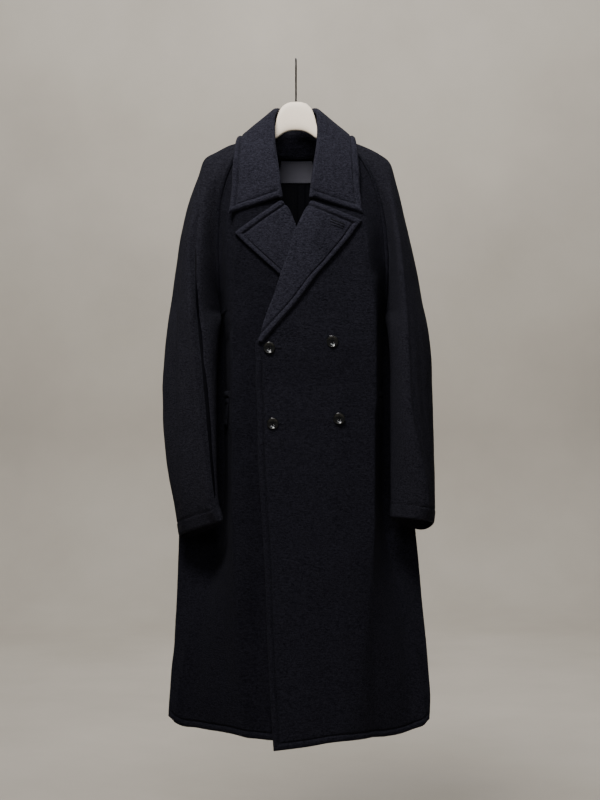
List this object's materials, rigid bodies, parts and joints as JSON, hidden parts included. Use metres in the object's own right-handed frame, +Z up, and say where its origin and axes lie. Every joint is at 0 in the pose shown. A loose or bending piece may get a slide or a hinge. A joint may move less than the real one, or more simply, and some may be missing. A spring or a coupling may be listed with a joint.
{
  "type": "double-breasted coat on a hanger",
  "caption": "Long double-breasted raglan coat in heavy dark felted wool, buttoned up, hanging on a cream hanger with a black wire hook.",
  "frame": {"origin": "inside the top of the hanger's hook, where it rests on a rail", "axes": "+X to the viewer's right, -Y to the viewer (the coat's front), +Z up"},
  "size_m": [0.5422, 0.221, 1.3586],
  "materials": {
    "wool": "thick felted wool, matt with a faint fuzz",
    "lining": "smooth black lining with a soft sheen",
    "label": "ribbed dark grey band",
    "button": "polished black",
    "cream": "painted cream, half matt",
    "wire": "black, half gloss"
  },
  "bodies": {
    "root": {"back": "wool", "back_lining": "lining", "button_lower_left": "button", "button_lower_right": "button", "button_upper_left": "button", "button_upper_right": "button", "collar": "wool", "hanger_body": "cream", "hanger_hook": "wire", "left_front": "wool", "left_lapel": "wool", "left_pocket_flap": "wool", "left_pocket_welt": "wool", "left_sleeve": "wool", "neck_label": "label", "right_front": "wool", "right_lapel": "wool", "right_pocket_flap": "wool", "right_pocket_welt": "wool", "right_sleeve": "wool"}
  },
  "joints": []
}
